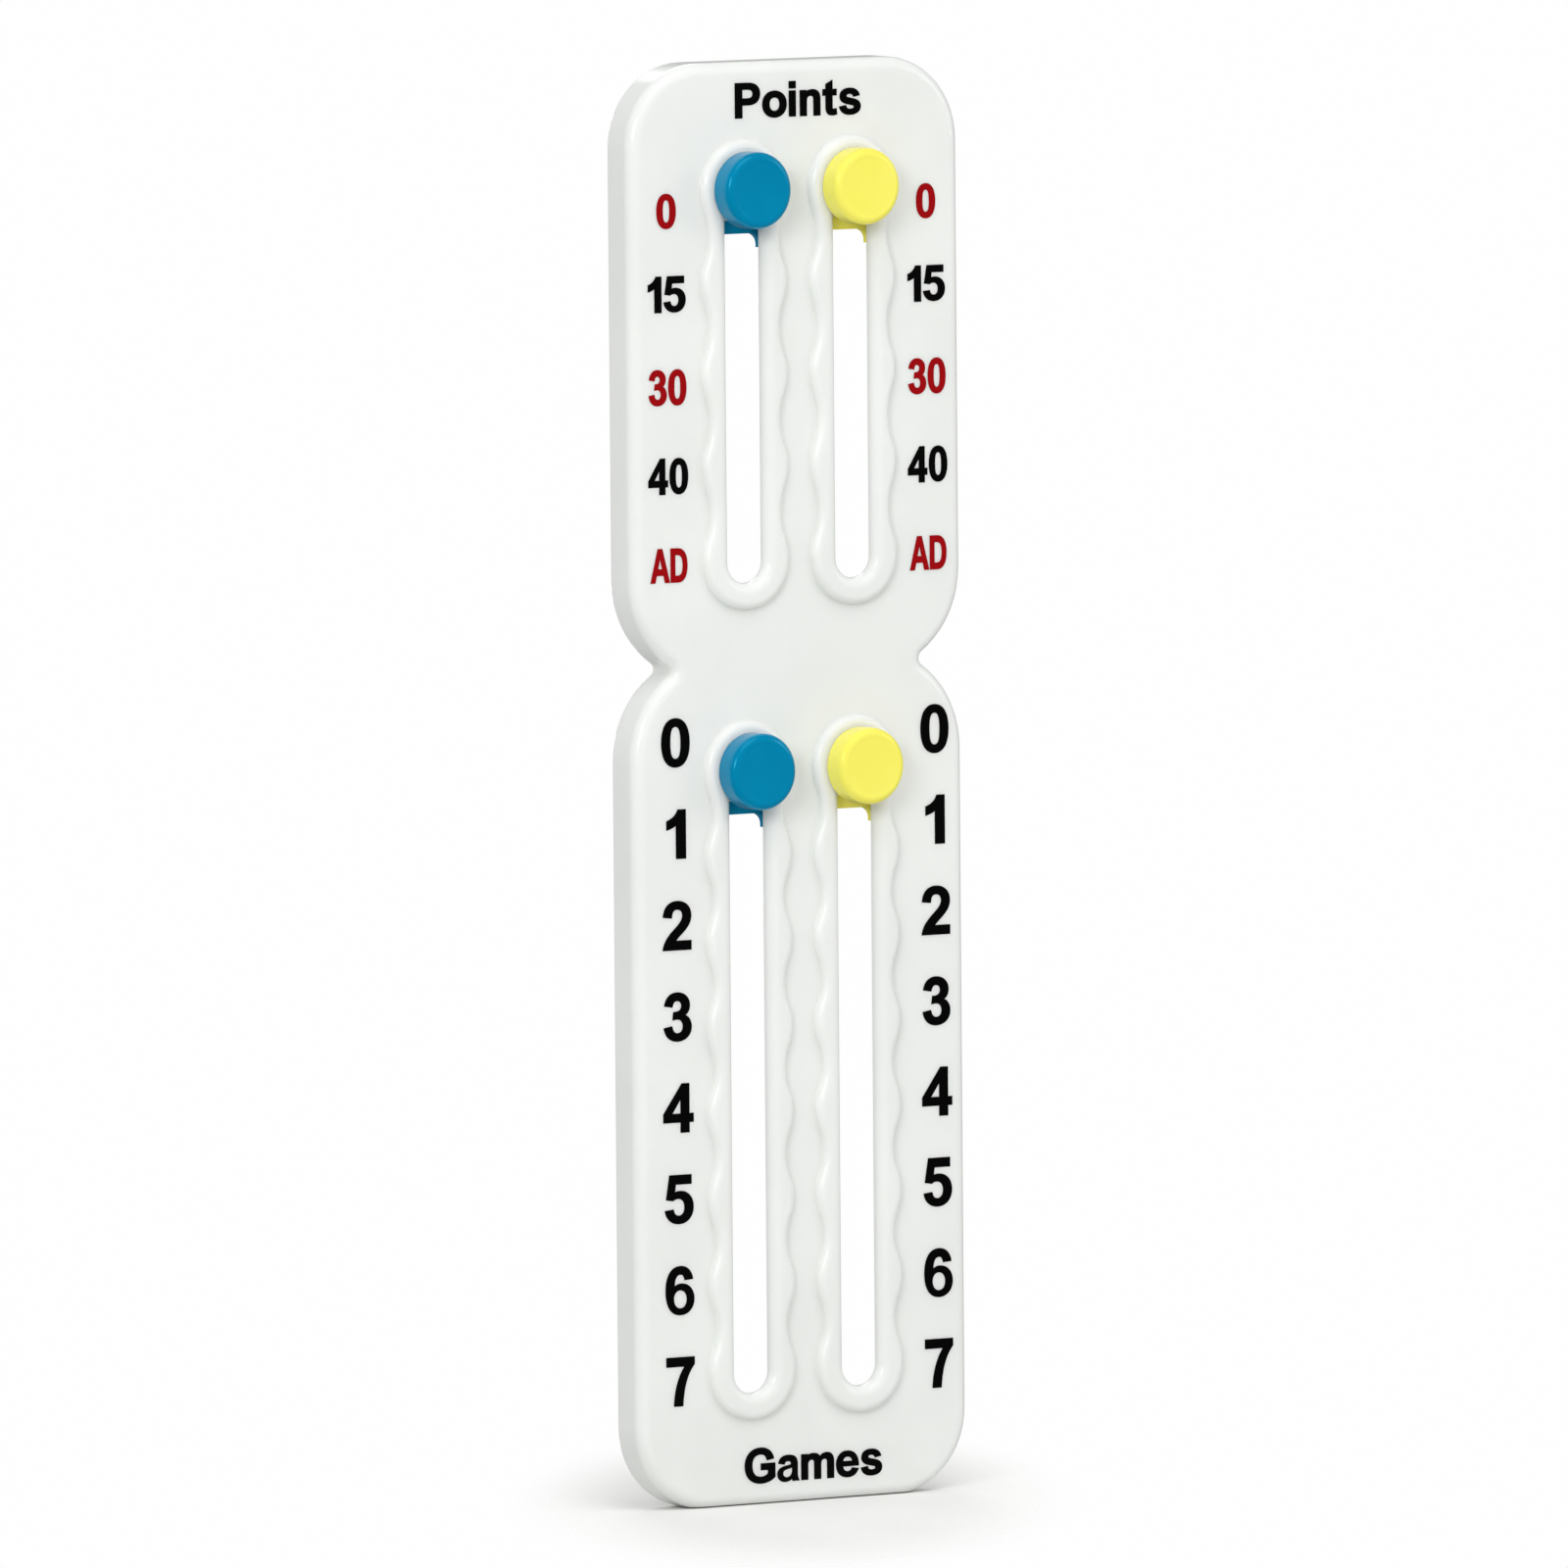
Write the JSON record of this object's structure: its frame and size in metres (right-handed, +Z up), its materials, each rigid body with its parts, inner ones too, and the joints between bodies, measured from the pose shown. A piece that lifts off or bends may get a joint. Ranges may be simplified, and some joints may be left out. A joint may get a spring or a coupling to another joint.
{
  "type": "scoreboard",
  "caption": "Upright moulded score board with a waisted outline, slotted scalloped tracks and round sliding markers that click from number to number.",
  "frame": {"origin": "middle of the flat foot that the board stands on", "axes": "+Z up along the board, +X to the right seen from the front, -Y out of the front face"},
  "size_m": [0.081, 0.0165, 0.3],
  "materials": {
    "board_white": "satin moulded",
    "marker_blue": "gloss moulded",
    "marker_yellow": "gloss moulded",
    "spring_natural": "natural moulded",
    "screw_steel": "zinc plated"
  },
  "bodies": {
    "board": {"board": "board_white"},
    "points_left_marker": {"points_left_knob": "marker_blue", "points_left_click_spring": "spring_natural", "points_left_slide_plate": "marker_blue", "points_left_screw": "screw_steel"},
    "points_right_marker": {"points_right_knob": "marker_yellow", "points_right_click_spring": "spring_natural", "points_right_slide_plate": "marker_yellow", "points_right_screw": "screw_steel"},
    "games_left_marker": {"games_left_knob": "marker_blue", "games_left_click_spring": "spring_natural", "games_left_slide_plate": "marker_blue", "games_left_screw": "screw_steel"},
    "games_right_marker": {"games_right_knob": "marker_yellow", "games_right_click_spring": "spring_natural", "games_right_slide_plate": "marker_yellow", "games_right_screw": "screw_steel"}
  },
  "joints": [
    {"name": "points_left_slide", "type": "slide", "parent": "board", "child": "points_left_marker", "axis": [0, 0, -1], "range_m": [0, 0.0768], "deforming": ["points_left_click_spring"]},
    {"name": "points_right_slide", "type": "slide", "parent": "board", "child": "points_right_marker", "axis": [0, 0, -1], "range_m": [0, 0.0768], "deforming": ["points_right_click_spring"]},
    {"name": "games_left_slide", "type": "slide", "parent": "board", "child": "games_left_marker", "axis": [0, 0, -1], "range_m": [0, 0.125], "deforming": ["games_left_click_spring"]},
    {"name": "games_right_slide", "type": "slide", "parent": "board", "child": "games_right_marker", "axis": [0, 0, -1], "range_m": [0, 0.125], "deforming": ["games_right_click_spring"]}
  ]
}
